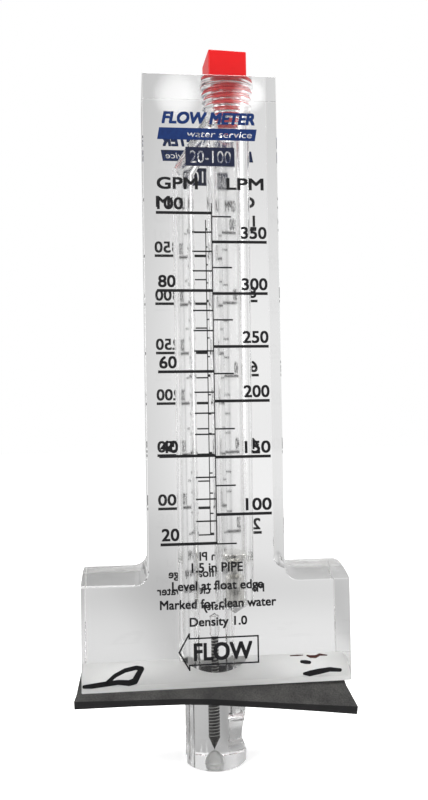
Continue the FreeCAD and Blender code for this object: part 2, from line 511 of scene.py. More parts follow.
def node_group(name: str, floats: list[str], whole: list[str]) -> Tree:
    """Makes a geometry tree with named inputs, the last of them a material, and one geometry output.

    Args:
        name: The tree's name.
        floats: Names of the inputs that take a real number.
        whole: Names of the inputs that take a whole number.

    Returns:
        The tree.
    """
    tree = bpy.data.node_groups.new(name, "GeometryNodeTree")
    tree.interface.new_socket("Geometry", in_out="OUTPUT", socket_type="NodeSocketGeometry")
    for kind, labels in (("Float", floats), ("Int", whole), ("Material", ["Material"])):
        for label in labels:
            tree.interface.new_socket(label, in_out="INPUT", socket_type=f"NodeSocket{kind}")
    return tree


def grow(name: str, tree: Tree, values: dict[str, float], material: Material) -> Thing:
    """Runs a geometry tree with the given inputs and keeps the mesh that it makes.

    Args:
        name: The object's name.
        tree: The geometry tree.
        values: Values for the tree's named inputs.
        material: The material of what it makes.

    Returns:
        The object with its plain mesh.
    """
    thing = mesh_object(name, [], [])
    step = thing.modifiers.new("tree", "NODES")
    step.node_group = tree
    sockets = {item.name: item.identifier for item in tree.interface.items_tree if item.in_out == "INPUT"}
    for label, value in values.items():
        step[sockets[label]] = value
    step[sockets["Material"]] = material
    return bake(thing)


class Sums:
    """Writes arithmetic as math nodes in one tree."""

    def __init__(self, tree: Tree) -> None:
        """Keeps the tree that the nodes go into."""
        self.tree = tree

    def __call__(self, operation: str, *terms) -> Socket:
        """Adds one math node.

        Args:
            operation: The node's operation.
            terms: Its values or sockets, in order.

        Returns:
            The node's result.
        """
        return add_node(self.tree, "ShaderNodeMath", dict(enumerate(terms)), operation=operation).outputs[0]

    def vector(self, x=0.0, y=0.0, z=0.0) -> Socket:
        """Joins three values or sockets into a vector."""
        parts = {"X": x, "Y": y, "Z": z}
        return add_node(self.tree, "ShaderNodeCombineXYZ", parts).outputs[0]


def thread_tree() -> Tree:
    """Makes the tree for a thread's ridge: a trapezium swept along a helix, with closed ends.

    Returns:
        The tree, with its sizes in metres.
    """
    lengths = ["Foot radius", "Head radius", "Height of ridge", "Root width", "Crest width", "Pitch", "Turns"]
    tree = node_group("helical_thread", lengths, ["Points per turn"])
    sums = Sums(tree)
    given = add_node(tree, "NodeGroupInput").outputs
    helix = add_node(
        tree,
        "GeometryNodeCurveSpiral",
        {
            "Resolution": given["Points per turn"],
            "Rotations": given["Turns"],
            "Start Radius": given["Foot radius"],
            "End Radius": given["Head radius"],
            "Height": sums("MULTIPLY", given["Turns"], given["Pitch"]),
            "Reverse": True,
        },
    )
    upright = add_node(tree, "GeometryNodeSetCurveNormal", {"Curve": helix.outputs[0]}, mode="Z_UP")
    corners = [("Root width", -0.5), ("Crest width", -0.5), ("Crest width", 0.5), ("Root width", 0.5)]
    points = {}
    for number, (width, share) in enumerate(corners, 1):
        rise = given["Height of ridge"] if width == "Crest width" else 0.0
        points[f"Point {number}"] = sums.vector(rise, sums("MULTIPLY", given[width], share))
    section = add_node(tree, "GeometryNodeCurvePrimitiveQuadrilateral", points, mode="POINTS")
    sweep = {"Curve": upright.outputs[0], "Profile Curve": section.outputs[0], "Fill Caps": True}
    finish(tree, add_node(tree, "GeometryNodeCurveToMesh", sweep).outputs[0])
    return tree


def marks_tree() -> Tree:
    """Makes the tree for one column of graduations on a face, with every nth mark long and thick.

    Returns:
        The tree, with its sizes in metres and its flow law in metres for flow.
    """
    flows = ["First flow", "Flow step", "Law start", "Law slope", "Law bend"]
    sizes = ["Long length", "Short length", "Long width", "Short width", "Side", "Film"]
    tree = node_group("scale_marks", flows + sizes, ["Count", "Long every", "Long first"])
    sums = Sums(tree)
    given = add_node(tree, "NodeGroupInput").outputs
    dots = add_node(tree, "GeometryNodeMeshLine", {"Count": given["Count"], "Offset": (0.0, 0.0, 0.0)})
    index = add_node(tree, "GeometryNodeInputIndex").outputs[0]
    flow = sums("ADD", given["First flow"], sums("MULTIPLY", given["Flow step"], index))
    straight = sums("ADD", given["Law start"], sums("MULTIPLY", given["Law slope"], flow))
    height = sums("ADD", straight, sums("MULTIPLY", given["Law bend"], sums("MULTIPLY", flow, flow)))
    raised = {"Geometry": dots.outputs[0], "Position": sums.vector(0.0, height, 0.0)}
    placed = add_node(tree, "GeometryNodeSetPosition", raised)
    remainder = sums("MODULO", sums("ADD", index, given["Long first"]), given["Long every"])
    is_long = sums("LESS_THAN", remainder, 0.5)

    def sized(measure: str) -> Socket:
        """Gives a mark's long or short measure."""
        long, short = given[f"Long {measure}"], given[f"Short {measure}"]
        return sums("MULTIPLY_ADD", is_long, sums("SUBTRACT", long, short), short)

    bar = add_node(tree, "GeometryNodeMeshCube")
    aside = {"Geometry": bar.outputs[0], "Translation": sums.vector(sums("MULTIPLY", given["Side"], 0.5))}
    shifted = add_node(tree, "GeometryNodeTransform", aside)
    bars = {
        "Points": placed.outputs[0],
        "Instance": shifted.outputs[0],
        "Scale": sums.vector(sized("length"), sized("width"), given["Film"]),
    }
    finish(tree, add_node(tree, "GeometryNodeInstanceOnPoints", bars).outputs[0])
    return tree


@dataclass(frozen=True)
class Thread:
    """A thread with a trapezium ridge, straight or tapered: its radii at one height, its pitch and its taper."""

    crest_r: float
    root_r: float
    pitch: float
    taper: float = 0.0
    at_z: float = 0.0
    flat: float = 0.125
    sink: float = 0.05
    points_per_turn: int = 64

    def widened(self, z: float) -> float:
        """Gives how much wider the thread is at a height than at its own height."""
        return self.taper * (z - self.at_z)

    def ridge(self, name: str, tree: Tree, material: Material, axis_x: float, low: float, high: float) -> Thing:
        """Makes the ridge between two heights.

        Args:
            name: The object's name.
            tree: The tree that sweeps a ridge.
            material: The material of the threaded piece.
            axis_x: X of the thread's axis.
            low: Height where the ridge starts.
            high: Height where it ends.

        Returns:
            The ridge, closed, a little sunk into the core.
        """
        flat = self.pitch * self.flat
        core_r = self.root_r - self.sink
        values = {
            "Foot radius": (core_r + self.widened(low)) * MM,
            "Head radius": (core_r + self.widened(high)) * MM,
            "Height of ridge": (self.crest_r - core_r) * MM,
            "Root width": (self.pitch - flat) * MM,
            "Crest width": flat * MM,
            "Pitch": self.pitch * MM,
            "Turns": (high - low - self.pitch) / self.pitch,
            "Points per turn": self.points_per_turn,
        }
        ridge = grow(name, tree, values, material)
        ridge.data.transform(Matrix.Translation(Vector((axis_x, 0, low + self.pitch / 2)) * MM))
        return outward(ridge)


@dataclass
class ClearBlock:
    """The acrylic block with the tube cemented into it, which light sees as one piece of plastic.

    The outer sizes come from the frame, and the passages repeat the sizes of the solids, apart from the
    stud's hole, the centre hole and the scoop, which are placed as the photograph shows them.
    """

    pipe_r: float = 24.13
    gasket: float = 3.175
    column_width: float = 45.2
    ear_height: float = 33.6
    ear_arch_r: float = 38.1
    ear_fillet: float = 4.76
    edge_break: float = 0.2
    bore_x: float = 7.0
    bore_floor_height: float = 20.9
    bore_floor_r: float = 6.65
    bore_top_r: float = 7.7
    inlet_x: float = 5.0
    inlet_r: float = 1.6
    return_x: float = -8.73
    return_r: float = 3.7
    return_below_top: float = 27.2
    cross_r: float = 3.7
    cross_slant_deg: float = 31.3
    cross_foot_below_top: float = 30.4
    cross_start_in_port: float = 5.5
    port_depth: float = 16.0
    port_chamfer: float = 0.4
    stud_x: float = -0.2
    stud_hole_r: float = 1.28
    stud_pocket_r: float = 1.7
    stud_hole_above: float = 7.4
    stud_point: float = 4.1
    centre_hole: Steps = ((2.1, -1), (2.1, 0.4), (1.95, 1.6), (1.5, 2.9), (0.8, 3.9), (0, 4.4))
    cement_low: float = -0.4
    scoop_r: float = 6.6
    scoop_drop: float = 21.7
    scoop_depth: float = 7.5
    off_seam: float = 0.017
    tip_chamfer: float = 0.5
    cutter_past: float = 1.0
    stud_gap: float = 0.03
    thread_below: float = 0.3
    cement_high: float = 1.0
    touch: float = 0.1
    skin: float = 0.05
    bore_sides: int = 128
    hole_sides: int = 64
    scoop_sides: int = 90
    drill_sides: int = 48
    fillet_steps: int = 12
    loft_steps: int = 64
    drill_half_deg: float = 59
    drill_slope: float = 1 / math.tan(math.radians(drill_half_deg))

    def __post_init__(self) -> None:
        """Reads the outer sizes from the frame."""
        low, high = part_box("meter_body")
        tube_low, tube_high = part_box("pitot_tube")
        self.half_depth = high[1] / MM
        self.half_base = high[0] / MM
        self.foot = low[2] / MM
        self.top = high[2] / MM
        self.tube_r = tube_high[1] / MM
        self.tube_low = tube_low[2] / MM
        self.tube_top = tube_high[2] / MM
        self.port_floor = self.top - self.port_depth
        self.stud_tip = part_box("tube_stud")[0][2] / MM

    def arch(self, radius: float, y: float) -> float:
        """Gives the height of an arch at one depth, over its ends on the front and back faces."""
        return math.sqrt(radius**2 - y**2) - math.sqrt(radius**2 - self.half_depth**2)

    def outline(self, y: float, inset: float) -> list[Pair]:
        """Gives the block's outline in X and Z at one depth.

        Args:
            y: The depth.
            inset: How far the edges are broken back there.

        Returns:
            The points, in turning order from the saddle's right end.
        """
        saddle_z = self.foot + self.arch(self.pipe_r, y)
        ear_z = self.foot + self.ear_height + self.arch(self.ear_arch_r, y) - inset
        fillet = self.ear_fillet + inset
        half_column = self.column_width / 2 - inset
        half_base = self.half_base - inset
        right = [(half_base, saddle_z), (half_base, ear_z)]
        for k in range(self.fillet_steps + 1):
            angle = math.pi / 2 * k / self.fillet_steps
            across, up = fillet * (1 - math.sin(angle)), fillet * (1 - math.cos(angle))
            right.append((half_column + across, ear_z + up))
        right.append((half_column, self.top - inset))
        return right + [(-x, z) for x, z in reversed(right)]

    def blank(self) -> Thing:
        """Lofts the outer block through its outlines from the front face to the back face."""
        steps = self.loft_steps
        inner = self.half_depth - self.edge_break
        rows = [(-self.half_depth, self.edge_break)]
        rows += [(-inner + 2 * inner * k / steps, 0.0) for k in range(steps + 1)]
        rows += [(self.half_depth, self.edge_break)]
        outlines = [[(x, y, z) for x, z in self.outline(y, inset)] for y, inset in rows]
        count = len(outlines[0])
        points = [point for row in outlines for point in row]
        faces: list = [tuple(range(count)), tuple(range(len(points) - 1, len(points) - count - 1, -1))]
        for row in range(len(outlines) - 1):
            for k in range(count):
                a, b = row * count + k, row * count + (k + 1) % count
                faces.append((a, a + count, b + count, b))
        return outward(mesh_object("clear_body", points, faces))

    def cutters(self, tree: Tree, port: Thread, material: Material) -> list[Thing]:
        """Makes the spaces that are cut out of the plastic.

        Args:
            tree: The tree that sweeps a thread's ridge.
            port: The thread in the plug's port.
            material: The plastic as a drill leaves it.

        Returns:
            One closed solid for each passage.
        """
        tip = self.foot + self.bore_floor_height
        seat = tip + self.bore_floor_r * self.drill_slope
        above = self.top + self.cutter_past
        mouth_r = port.crest_r + port.widened(self.top) + self.port_chamfer
        bore = [
            (0, tip),
            (self.bore_floor_r, seat),
            (self.bore_top_r, self.port_floor),
            (port.root_r + port.widened(self.port_floor), self.port_floor),
            (port.root_r + port.widened(self.top), self.top - self.port_chamfer * 2),
            (mouth_r, self.top),
            (mouth_r, above),
            (0, above),
        ]
        stud_top = self.tube_top + self.stud_hole_above
        stud = [
            (0, self.stud_tip - self.stud_gap),
            (self.stud_hole_r, self.stud_tip + self.stud_point),
            (self.stud_hole_r, self.tube_top),
            (self.stud_pocket_r, self.tube_top),
            (self.stud_pocket_r, stud_top - self.stud_pocket_r * self.drill_slope),
            (0, stud_top),
        ]
        inlet = [(0, -self.scoop_drop), (self.inlet_r, -self.scoop_drop), (self.inlet_r, seat), (0, seat)]
        below = self.tube_low - self.cutter_past
        return_top = self.top - self.return_below_top
        shoulder = return_top - self.return_r * self.drill_slope
        return_bore = [(0, below), (self.return_r, below), (self.return_r, shoulder), (0, return_top)]
        centre_hole = [(0, below)] + [(radius, self.tube_low + up) for radius, up in self.centre_hole]
        thread_low, thread_high = self.port_floor - self.thread_below, self.top + port.pitch
        return [
            lathe("bore", bore, (self.bore_x, 0), self.bore_sides),
            port.ridge("port_thread", tree, material, self.bore_x, thread_low, thread_high),
            lathe("return_bore", return_bore, (self.return_x, 0)),
            lathe("centre_hole", centre_hole, (self.stud_x, 0), self.hole_sides),
            self.cross_passage(),
            lathe("stud_hole", stud, (self.stud_x, 0), self.drill_sides),
            lathe("inlet", inlet, (self.inlet_x, 0), self.drill_sides),
        ]

    def cross_passage(self) -> Thing:
        """Makes the passage that is drilled aslant through the port's mouth into the return bore."""
        foot = Vector((self.return_x, 0, self.top - self.cross_foot_below_top))
        slant = math.radians(self.cross_slant_deg)
        upward = Vector((math.sin(slant), 0, math.cos(slant)))
        length = (self.port_floor + self.cross_start_in_port - foot.z) / upward.z
        point = self.cross_r * self.drill_slope
        passage = lathe("cross", [(0, -point), (self.cross_r, 0), (self.cross_r, length), (0, length)], (0, 0))
        passage.data.transform(aimed(foot, upward))
        return passage

    def build(self, tree: Tree, port: Thread, finishes: list[Material]) -> Thing:
        """Makes the block with its tube and all its passages.

        Args:
            tree: The tree that sweeps a thread's ridge.
            port: The thread in the plug's port.
            finishes: The plastic polished outside, as drills leave it inside, and milled on the saddle.

        Returns:
            The finished piece.
        """
        body = self.coat(self.blank(), finishes, 0)
        profile = [
            (0, self.tube_low),
            (self.tube_r - self.tip_chamfer, self.tube_low),
            (self.tube_r, self.tube_low + self.tip_chamfer),
            (self.tube_r, self.cement_low),
            (self.tube_r, self.tube_top),
            (0, self.tube_top),
        ]
        tube = self.coat(lathe("tube", profile, (0, 0), self.bore_sides), finishes, 0)
        scoop_start = Vector((self.tube_r - self.scoop_depth, self.off_seam, -self.scoop_drop))
        scoop_end = scoop_start + Vector((2 * self.scoop_depth, 0, 0))
        scoop = rod("scoop", self.scoop_r, scoop_start, scoop_end, self.scoop_sides)
        combine(body, combine(tube, self.coat(scoop, finishes, 1), "DIFFERENCE"), "UNION")
        for tool in self.cutters(tree, port, finishes[1]):
            combine(body, self.coat(tool, finishes, 1), "DIFFERENCE")
        smooth(outward(closed(body)))
        for polygon in body.data.polygons:
            if self.is_frosted(polygon.center / MM):
                polygon.material_index = 2
        return body

    def coat(self, thing: Thing, finishes: list[Material], chosen: int) -> Thing:
        """Gives a mesh all the finishes and puts one of them on its faces."""
        thing.data.materials.clear()
        for surface in finishes:
            thing.data.materials.append(surface)
        thing.data.polygons.foreach_set("material_index", [chosen] * len(thing.data.polygons))
        return thing

    def is_frosted(self, point: Vector) -> bool:
        """Tells whether a point is on the milled saddle, in the centre hole or on the tube's cemented ring."""
        on_tube = abs(math.hypot(point.x, point.y) - self.tube_r) < self.touch
        if on_tube and self.cement_low < point.z < self.gasket + self.cement_high:
            return True
        hole_r, hole_height = self.centre_hole[0][0] + self.skin, self.centre_hole[-1][1]
        in_hole = math.hypot(point.x - self.stud_x, point.y) < hole_r
        if in_hole and self.skin < point.z - self.tube_low < hole_height:
            return True
        axis_z = self.foot - math.sqrt(self.pipe_r**2 - self.half_depth**2)
        on_saddle = abs(math.hypot(point.y, point.z - axis_z) - self.pipe_r) < self.touch
        return on_saddle and point.z > self.foot - self.touch


@dataclass
class TopPlug:
    """The red plug: a square moulded head and a threaded barrel."""

    head_width: float = 13.5
    head_turn: float = 4.0
    edge_r: float = 0.45
    edge_segments: int = 3
    tip_chamfer: float = 0.9
    neck_below: float = 0.5
    collar_below: float = 0.4
    collar_play: float = 0.05
    thread_above_tip: float = 0.3
    # The barrel below this depth takes the paler red, painted light for the light that the block keeps from it.
    thread_below_top: float = 0.2
    scuffed_below: float = 0.45
    sharp_deg: float = 35

    def build(self, tree: Tree, thread: Thread, block: ClearBlock, material: Material, lit_copy: Material) -> Thing:
        """Makes the plug.

        Args:
            tree: The tree that sweeps a thread's ridge.
            thread: The plug's thread.
            block: The block that it closes.
            material: The red plastic.
            lit_copy: The same plastic painted paler on the barrel under the block, as painted light in place of
                the light that the glass keeps from it.

        Returns:
            The finished piece.
        """
        low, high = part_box("top_plug")
        tip, top = low[2] / MM, high[2] / MM
        neck = block.top - self.neck_below
        tip_r = thread.root_r + thread.widened(tip)
        collar_r = thread.crest_r - self.collar_play
        profile = [
            (0, tip),
            (tip_r - self.tip_chamfer, tip),
            (tip_r, tip + self.tip_chamfer),
            (thread.root_r + thread.widened(block.top), neck),
            (collar_r, block.top - self.collar_below),
            (collar_r, block.top),
            (0, block.top),
        ]
        core = lathe("core", profile, (block.bore_x, 0))
        thread_low, thread_high = tip + self.thread_above_tip, block.top - self.thread_below_top
        ridge = thread.ridge("ridge", tree, material, block.bore_x, thread_low, thread_high)
        half = self.head_width / 2
        square = ((-half, -half), (half, -half), (half, half), (-half, half))
        corners = [(x, y, z) for z in (neck, top) for x, y in square]
        sides = [(0, 1, 5, 4), (1, 2, 6, 5), (2, 3, 7, 6), (3, 0, 4, 7), (3, 2, 1, 0), (4, 5, 6, 7)]
        head = mesh_object("head", corners, sides)
        turn = Matrix.Rotation(math.radians(self.head_turn), 4, "Z")
        head.data.transform(Matrix.Translation((block.bore_x * MM, 0, 0)) @ turn)
        rounding = head.modifiers.new("edges", "BEVEL")
        rounding.width = self.edge_r * MM
        rounding.segments = self.edge_segments
        bake(head)
        plug = smooth(join("top_plug_moulded", [core, ridge, head]), self.sharp_deg)
        # Faces below the block's top, the barrel's, take the paler copy of the red as painted light.
        lit_copy_to = block.top - self.scuffed_below
        return dress(plug, material, lit_copy, second=lambda centre: centre.z / MM < lit_copy_to)


@dataclass
class MeteringFloat:
    """The turned steel float, with its reading edge on top."""

    head_r: float = 6.35
    head_height: float = 3.6
    head_bevel: float = 1.2
    waist_r: float = 3.2
    waist_height: float = 3.6
    body_r: float = 4.76
    nose_r: float = 2.4
    shoulder: float = 1.0
    edge: float = 0.15

    def build(self, block: ClearBlock, material: Material) -> Thing:
        """Makes the float.

        Args:
            block: The block that it rises in.
            material: The turned steel.

        Returns:
            The finished piece.
        """
        low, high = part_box("metering_float")
        nose, top = low[2] / MM, high[2] / MM
        head = top - self.head_height
        waist = head - self.waist_height
        profile = [
            (0, nose),
            (self.nose_r, nose),
            (self.body_r, nose + (self.body_r - self.nose_r) * block.drill_slope),
            (self.body_r, waist - self.shoulder),
            (self.waist_r, waist),
            (self.waist_r, head),
            (self.head_r, top - self.head_bevel),
            (self.head_r, top - self.edge),
            (self.head_r - self.edge, top),
            (0, top),
        ]
        return dress(smooth(lathe("float_turned", profile, (block.bore_x, 0), block.bore_sides)), material)


@dataclass
class TubeStud:
    """The threaded stud in the middle of the tube."""

    thread: Thread = Thread(crest_r=1.2, root_r=0.8, pitch=1.06, flat=0.24, points_per_turn=32)
    point_length: float = 4.1
    thread_on_point: float = 0.6
    crest_band: float = 0.06
    sharp_deg: float = 35

    def build(self, tree: Tree, block: ClearBlock, material: Material, lit_copy: Material) -> Thing:
        """Makes the stud.

        Args:
            tree: The tree that sweeps a thread's ridge.
            block: The block that holds it.
            material: The steel in the thread's grooves, darkened as painted shade.
            lit_copy: The bright steel of the thread's crests, lighter than the grooves as painted light, so that
                the thread shows as beads.

        Returns:
            The finished piece.
        """
        low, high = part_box("tube_stud")
        tip, top = low[2] / MM, high[2] / MM
        root = self.thread.root_r
        profile = [(0, tip), (root, tip + self.point_length), (root, top), (0, top)]
        core = lathe("stud_core", profile, (block.stud_x, 0), block.drill_sides)
        thread_low = tip + self.point_length - self.thread_on_point
        ridge = self.thread.ridge("stud_ridge", tree, material, block.stud_x, thread_low, top)
        stud = smooth(join("stud_threaded", [core, ridge]), self.sharp_deg)
        # The crests keep the bright steel and the rest takes the darkened groove steel: painted light and
        # painted shade on the thread.
        crest = (self.thread.crest_r - self.crest_band) * MM
        axis_x = block.stud_x * MM
        return dress(stud, material, lit_copy, second=lambda at: math.hypot(at.x - axis_x, at.y) > crest)


def between(steps: Steps, x: float) -> float:
    """Reads a value between the steps of a short table."""
    for (x0, low), (x1, high) in zip(steps, steps[1:]):
        if x <= x1:
            share = max(0.0, min(1.0, (x - x0) / (x1 - x0)))
            return low + (high - low) * share
    return steps[-1][1]


@dataclass
class SaddleGasket:
    """The rubber pad under the saddle: glued along the saddle's two long edges, a little askew.

    It bends over the pipe in the middle and lies flatter towards its ends. Its flaps stand out in front and
    behind, and the front one gapes and hangs more towards the right.
    """

    length: float = 88.6
    width: float = 41.1
    shift: float = -1.75
    front_half: float = 21.25
    skew: float = 0.045
    gape: float = 0.037
    gape_from: float = -4.0
    flat_from: float = 22.0
    flat_to: float = 44.0
    flare_left: float = 0.18
    flare_right: float = 0.34
    back_droop_deg: float = 50.0
    front_droop_deg: Steps = (
        *((-46, 22.9), (-28, 21.7), (-12, 20.1), (0, 25.2)),
        *((18, 35.8), (32, 42), (45, 48.5)),
    )
    edge_lean_deg: Steps = ((-46, 23.4), (-28, 33.4), (-12, 36), (18, 35.4), (32, 28.7), (45, 19.7))
    flattest: float = 0.97
    gape_power: int = 4
    lean_over: float = 1.2
    glue: float = 0.05
    hole_gap: float = 0.6
    hole_reach: Pair = (-40, 20)
    sharp_deg: float = 40
    steps_long: int = 120
    steps_arc: int = 80

    def point(self, block: ClearBlock, along: float, across: float, lift: float) -> Point:
        """Places one point of the bent pad.

        Args:
            block: The block that it lies under.
            along: Place along the pipe, from 0 at the left end to 1.
            across: Place across the pad, from 0 at the front edge to 1.
            lift: Height over the pad's underside.

        Returns:
            The point's place.
        """
        thick = block.gasket - self.glue
        top_r = block.pipe_r + thick
        middle_r = block.pipe_r + block.gasket / 2
        edge = math.asin(block.half_depth / (block.pipe_r + block.gasket))
        x = self.shift + self.length * (along - 0.5)
        turn = (self.width * across - self.front_half - self.skew * x) / middle_r
        side = math.copysign(1.0, turn)
        held = side * min(abs(turn), edge)
        ease = max(0.0, min(1.0, (abs(x) - self.flat_from) / (self.flat_to - self.flat_from)))
        flat = self.flattest * ease * ease * (3 - 2 * ease)
        y, z = top_r * math.sin(held), top_r * math.cos(held) - block.pipe_r
        z += (top_r * math.cos(edge) - block.pipe_r - z) * flat
        lean = held * (1 - flat)
        droop, edge_lean = math.radians(self.back_droop_deg), edge
        if side < 0:
            z -= self.gape * max(0.0, x - self.gape_from) * (held / edge) ** self.gape_power
            droop = math.radians(between(self.front_droop_deg, x))
            edge_lean = math.radians(between(self.edge_lean_deg, x))
        beyond = max(0.0, abs(turn) - edge) * middle_r
        y += side * beyond * math.cos(droop)
        z -= beyond * math.sin(droop)
        flare = self.flare_right if x > 0 else self.flare_left
        x += flare * beyond * x / (self.length / 2) * (side < 0)
        lean += (side * edge_lean - lean) * min(1.0, beyond / self.lean_over)
        down = thick - lift
        return (x, y - down * math.sin(lean), z - down * math.cos(lean))

    def build(self, block: ClearBlock, cut: Material, dusty: Material) -> Thing:
        """Makes the pad with its hole.

        Args:
            block: The block that it lies under.
            cut: The rubber of its cut edges and underside.
            dusty: The rubber of its upper face.

        Returns:
            The finished piece.
        """
        rows, columns = self.steps_long + 1, self.steps_arc + 1
        points = [
            self.point(block, i / self.steps_long, j / self.steps_arc, lift)
            for lift in (0.0, block.gasket - self.glue)
            for i in range(rows)
            for j in range(columns)
        ]
        faces: list = []
        layer = rows * columns
        for i in range(self.steps_long):
            for j in range(self.steps_arc):
                a = i * columns + j
                b, c, d = a + 1, a + columns + 1, a + columns
                faces.append((a, b, c, d))
                faces.append((a + layer, d + layer, c + layer, b + layer))
        upper = [k % 2 for k in range(len(faces))]
        rim = [i * columns for i in range(rows)] + [(rows - 1) * columns + j for j in range(1, columns)]
        rim += [i * columns + columns - 1 for i in range(rows - 2, -1, -1)] + list(range(columns - 2, 0, -1))
        for a, b in zip(rim, rim[1:] + rim[:1]):
            faces.append((a, b, b + layer, a + layer))
            upper.append(0)
        pad = mesh_object("gasket_pad", points, faces)
        pad.data.materials.append(cut)
        pad.data.materials.append(dusty)
        pad.data.polygons.foreach_set("material_index", upper)
        hole_r, (hole_low, hole_high) = block.tube_r + self.hole_gap, self.hole_reach
        hole = lathe("hole", [(0, hole_low), (hole_r, hole_low), (hole_r, hole_high), (0, hole_high)], (0, 0))
        combine(outward(pad), hole, "DIFFERENCE")
        return smooth(pad, self.sharp_deg)


@dataclass(frozen=True)
class FlowLaw:
    """How the float's height follows the flow, as printed: start, slope and bend for gallons a minute."""

    start: float = 15.11
    slope: float = 1.5075
    bend: float = -0.001156
    litres_per_gallon: float = 3.785

    def height(self, flow: float, litres: bool) -> float:
        """Gives the height of a flow's mark.

        Args:
            flow: The flow that the mark stands for.
            litres: True if it is in litres a minute.

        Returns:
            The height on the face.
        """
        gallons = flow / self.litres_per_gallon if litres else flow
        return self.start + self.slope * gallons + self.bend * gallons**2


@dataclass
class PrintedFace:
    """The print on one face, drawn in face coordinates: X to the reader's right, Y up, Z off the face."""

    face: Face
    law: FlowLaw = FlowLaw()
    film: float = 0.05
    sunk: float = 0.02
    centre_low: float = 44.8
    centre_high: float = 157.7
    line: float = 0.34
    long_mark: float = 18.5
    short_gallons: float = 6.7
    short_litres: float = 6.6
    long_width: float = 0.95
    short_width: float = 0.5
    digit_width: float = 2.9
    digit_height: float = 4.1
    digit_lift: float = 1.1
    digit_bold: float = 0.27
    layer_step: float = 0.08
    capital: float = 0.729
    numerals_left: float = -18.1
    numerals_right: float = 18.5
    unit_rows: Pair = (162.2, 166.5)
    unit_bold: float = 0.34
    note_bold: float = 0.2
    heading_bold: float = 0.46
    heading_lean: float = 0.2
    arrow_line: float = 0.5
    arrow_bold: float = 0.42
    cut_through: float = 4.0
    brush_sides: int = 16
    letter_steps: int = 4

    def place(self, thing: Thing, block: ClearBlock) -> Thing:
        """Moves a flat drawing in metres onto the face."""
        out = block.half_depth - self.sunk + self.film / 2
        turn = Matrix.Rotation(math.pi / 2, 4, "X")
        if self.face is Face.BACK:
            turn = Matrix.Rotation(math.pi, 4, "Z") @ turn
        thing.data.transform(Matrix.Translation((0, self.face.value * out * MM, 0)) @ turn)
        return thing

    def words(self, text: str, x_range: Pair, y_range: Pair, bold: float = 0.0, lean: float = 0.0) -> Thing:
        """Draws words that fill a box.

        Args:
            text: The words.
            x_range: Left and right ends.
            y_range: Foot and height of the capitals.
            bold: How far the strokes are widened, by striking the word four times.
            lean: How far the letters lean for each millimetre of height.

        Returns:
            The flat drawing.
        """
        curve = bpy.data.curves.new("words", "FONT")
        curve.body = text
        curve.extrude = 0.5
        curve.resolution_u = self.letter_steps
        thing = put("words", curve)
        bpy.context.view_layer.update()
        mesh = bpy.data.meshes.new_from_object(thing.evaluated_get(bpy.context.evaluated_depsgraph_get()))
        drop(thing)
        flat = put("words", mesh)
        (left, right), (low, high) = x_range, y_range
        xs = [v.co.x for v in mesh.vertices]
        tall = max(v.co.y for v in mesh.vertices) if text.isdigit() else self.capital
        scale_x = (right - left - bold - lean * (high - low)) * MM / (max(xs) - min(xs))
        scale_y = (high - low - bold) * MM / tall
        slant = Matrix.Identity(4)
        slant[0][1] = lean
        shift = Matrix.Translation(((left + bold / 2) * MM, (low + bold / 2) * MM, 0))
        size = Matrix.Diagonal((scale_x, scale_y, self.film * MM, 1.0))
        mesh.transform(shift @ slant @ size @ Matrix.Translation((-min(xs), 0, 0)))
        if not bold:
            return flat
        strikes = [flat]
        for layer, (across, up) in enumerate(((-1, -1), (1, -1), (1, 1), (-1, 1)), 1):
            strike = put("strike", mesh.copy())
            strike.data.transform(Matrix.Translation((across * bold / 2 * MM, up * bold / 2 * MM, 0)))
            strikes.append(self.layered(strike, layer))
        return join("words", strikes)

    def layered(self, drawing: Thing, layer: int) -> Thing:
        """Makes a drawing a little thicker than those that it crosses, so that no two faces share a plane."""
        drawing.data.transform(Matrix.Diagonal((1, 1, 1 + self.layer_step * layer, 1)))
        return drawing

    def cleared(self, panel: Thing, letters: Thing) -> Thing:
        """Leaves words clear in a filled panel."""
        letters.data.transform(Matrix.Diagonal((1, 1, self.cut_through, 1)))
        return combine(panel, outward(letters), "DIFFERENCE")

    def brush(self, points: list[Point]) -> list[Thing]:
        """Draws a felt pen's stroke, with round ends and a width that varies.

        Args:
            points: X, Y and width along the stroke.

        Returns:
            The pieces.
        """
        pieces = []
        circle = [2 * math.pi * k / self.brush_sides for k in range(self.brush_sides)]
        for x, y, width in points:
            r = width / 2
            pieces.append(self.polygon([(x + r * math.cos(a), y + r * math.sin(a)) for a in circle]))
        for (x0, y0, w0), (x1, y1, w1) in zip(points, points[1:]):
            side = Vector((y0 - y1, x1 - x0)).normalized() / 2
            start, end = Vector((x0, y0)), Vector((x1, y1))
            corners = [start - side * w0, end - side * w1, end + side * w1, start + side * w0]
            pieces.append(self.polygon([tuple(corner) for corner in corners]))
        return [self.layered(piece, layer) for layer, piece in enumerate(pieces)]

    def bar(self, x_range: Pair, y_range: Pair) -> Thing:
        """Draws a filled box."""
        (left, right), (low, high) = x_range, y_range
        return self.polygon([(left, low), (right, low), (right, high), (left, high)])

    def polygon(self, corners: list[Pair]) -> Thing:
        """Draws a filled outline.

        Args:
            corners: Its corners, counter-clockwise.

        Returns:
            The flat drawing.
        """
        count = len(corners)
        points = [(x, y, z) for z in (-self.film / 2, self.film / 2) for x, y in corners]
        faces: list = [tuple(range(count - 1, -1, -1)), tuple(range(count, 2 * count))]
        for k in range(count):
            after = (k + 1) % count
            faces.append((k, after, after + count, k + count))
        return mesh_object("polygon", points, faces)

